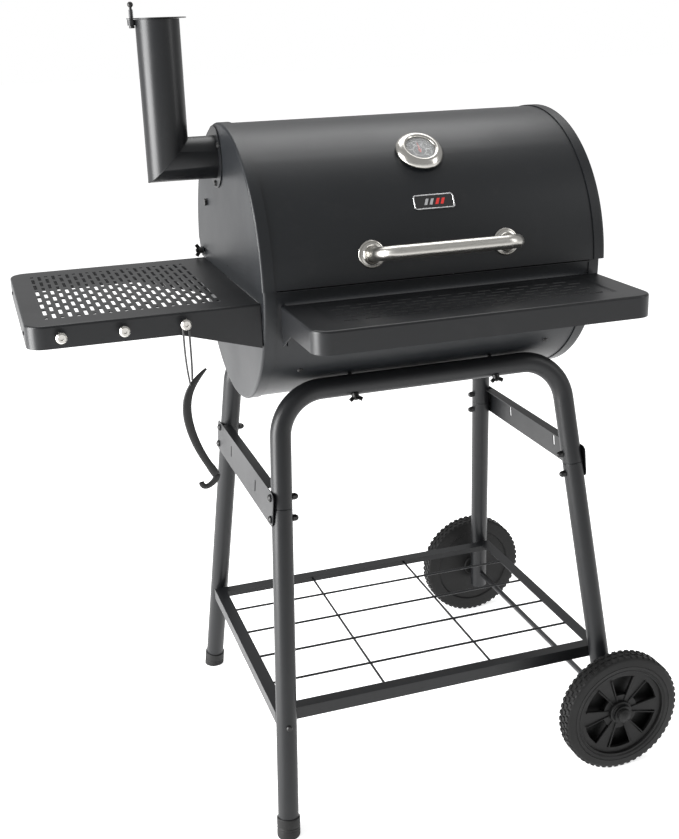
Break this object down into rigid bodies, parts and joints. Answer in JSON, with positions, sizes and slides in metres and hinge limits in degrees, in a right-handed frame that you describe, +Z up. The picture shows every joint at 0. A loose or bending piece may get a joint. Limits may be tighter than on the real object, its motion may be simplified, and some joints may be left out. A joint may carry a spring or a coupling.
{
  "type": "barrel charcoal grill",
  "caption": "Barrel charcoal grill with a side chimney, side and front shelves, grates and a two-wheeled tube stand.",
  "frame": {"origin": "on the ground, under the middle of the whole object's box", "axes": "+X along the barrel towards the wheels, +Y from the front shelf to the back, +Z up"},
  "size_m": [0.9612, 0.6898, 1.2247],
  "materials": {
    "stand_paint": "satin black powder coat with a fine orange-peel",
    "foot_plastic": "moulded black plastic",
    "black_fasteners": "black-coated steel",
    "zinc_steel": "zinc-plated steel",
    "wheel_plastic": "moulded black plastic",
    "barrel_paint": "satin black heat-resistant coat",
    "grate_enamel": "black enamel on wire",
    "shelf_paint": "satin black powder coat",
    "brushed_stainless": "brushed stainless steel",
    "dial_face": "printed grey dial with plain ticks",
    "needle_red": "red enamel",
    "gauge_glass": "clear glass",
    "badge_face": "glossy black plate, unmarked",
    "badge_chrome": "bright trim",
    "chimney_paint": "satin black heat-resistant coat",
    "lifter_plastic": "moulded black plastic",
    "strap_webbing": "thin black woven strap"
  },
  "bodies": {
    "stand": {"front_leg_frame": "stand_paint", "rear_leg_frame": "stand_paint", "front_left_lower_leg": "stand_paint", "rear_left_lower_leg": "stand_paint", "front_right_lower_leg": "stand_paint", "rear_right_lower_leg": "stand_paint", "front_left_foot": "foot_plastic", "rear_left_foot": "foot_plastic", "left_brace": "stand_paint", "right_brace": "stand_paint", "brace_bolts": "black_fasteners", "brace_nuts": "black_fasteners", "rack_frame": "stand_paint", "rack_wires": "stand_paint", "rack_screws": "black_fasteners", "axle": "zinc_steel", "axle_spacers": "stand_paint", "axle_caps": "wheel_plastic", "bowl_shell": "barrel_paint", "bowl_left_cap": "barrel_paint", "bowl_right_cap": "barrel_paint", "bowl_mount_bolts": "black_fasteners", "bowl_wing_nuts": "black_fasteners", "grate_ledges": "barrel_paint", "charcoal_ledges": "barrel_paint", "ledge_rivets": "black_fasteners", "side_shelf": "shelf_paint", "side_shelf_hooks": "brushed_stainless", "side_shelf_bolts": "black_fasteners", "front_shelf": "shelf_paint", "front_shelf_bolts": "black_fasteners", "hinge_bolts": "black_fasteners", "hinge_wing_nuts": "black_fasteners"},
    "lid": {"lid_shell": "barrel_paint", "lid_left_cap": "barrel_paint", "lid_right_cap": "barrel_paint", "lid_cap_bolts": "black_fasteners", "lid_handle": "brushed_stainless", "handle_escutcheons": "brushed_stainless", "handle_screws": "zinc_steel", "gauge_bezel": "brushed_stainless", "gauge_dial": "dial_face", "gauge_lens": "gauge_glass", "gauge_stem": "zinc_steel", "gauge_nut": "zinc_steel", "badge": "badge_face", "badge_frame": "badge_chrome", "chimney_flange": "chimney_paint", "chimney_tube": "chimney_paint", "chimney_bolts": "black_fasteners", "damper_pin": "chimney_paint"},
    "needle": {"gauge_needle": "needle_red"},
    "damper": {"damper_flap": "chimney_paint"},
    "front_wheel": {"front_wheel": "wheel_plastic"},
    "rear_wheel": {"rear_wheel": "wheel_plastic"},
    "left_cooking_grate": {"left_cooking_grate": "grate_enamel"},
    "right_cooking_grate": {"right_cooking_grate": "grate_enamel"},
    "charcoal_grate": {"charcoal_grate": "grate_enamel"},
    "lifter": {"grate_lifter": "lifter_plastic", "lifter_lanyard": "strap_webbing"}
  },
  "joints": [
    {"name": "lid_hinge", "type": "hinge", "parent": "stand", "child": "lid", "pos_m": [0.10321, 0.21588, 0.83], "axis": [-1, 0, 0], "range_deg": [0, 92]},
    {"name": "damper_swing", "type": "hinge", "parent": "lid", "child": "damper", "pos_m": [-0.27179, 0.05988, 1.20125], "axis": [0, 0, 1], "range_deg": [0, 110]},
    {"name": "needle_turn", "type": "hinge", "parent": "lid", "child": "needle", "pos_m": [0.10321, -0.10755, 1.00354], "axis": [0, -0.6252, 0.7804], "range_deg": [-250, 0]},
    {"name": "front_wheel_spin", "type": "hinge", "parent": "stand", "child": "front_wheel", "pos_m": [0.37899, -0.26612, 0.1016], "axis": [0, 1, 0], "continuous": true},
    {"name": "rear_wheel_spin", "type": "hinge", "parent": "stand", "child": "rear_wheel", "pos_m": [0.37899, 0.31788, 0.1016], "axis": [0, 1, 0], "continuous": true},
    {"name": "left_grate_lift", "type": "slide", "parent": "stand", "child": "left_cooking_grate", "axis": [0, 0, 1], "range_m": [0, 0.06]},
    {"name": "right_grate_lift", "type": "slide", "parent": "stand", "child": "right_cooking_grate", "axis": [0, 0, 1], "range_m": [0, 0.06]},
    {"name": "charcoal_grate_lift", "type": "slide", "parent": "stand", "child": "charcoal_grate", "axis": [0, 0, 1], "range_m": [0, 0.06]},
    {"name": "lifter_swing", "type": "hinge", "parent": "stand", "child": "lifter", "pos_m": [-0.26779, -0.17412, 0.803], "axis": [0, 1, 0], "range_deg": [-30, 30]}
  ]
}
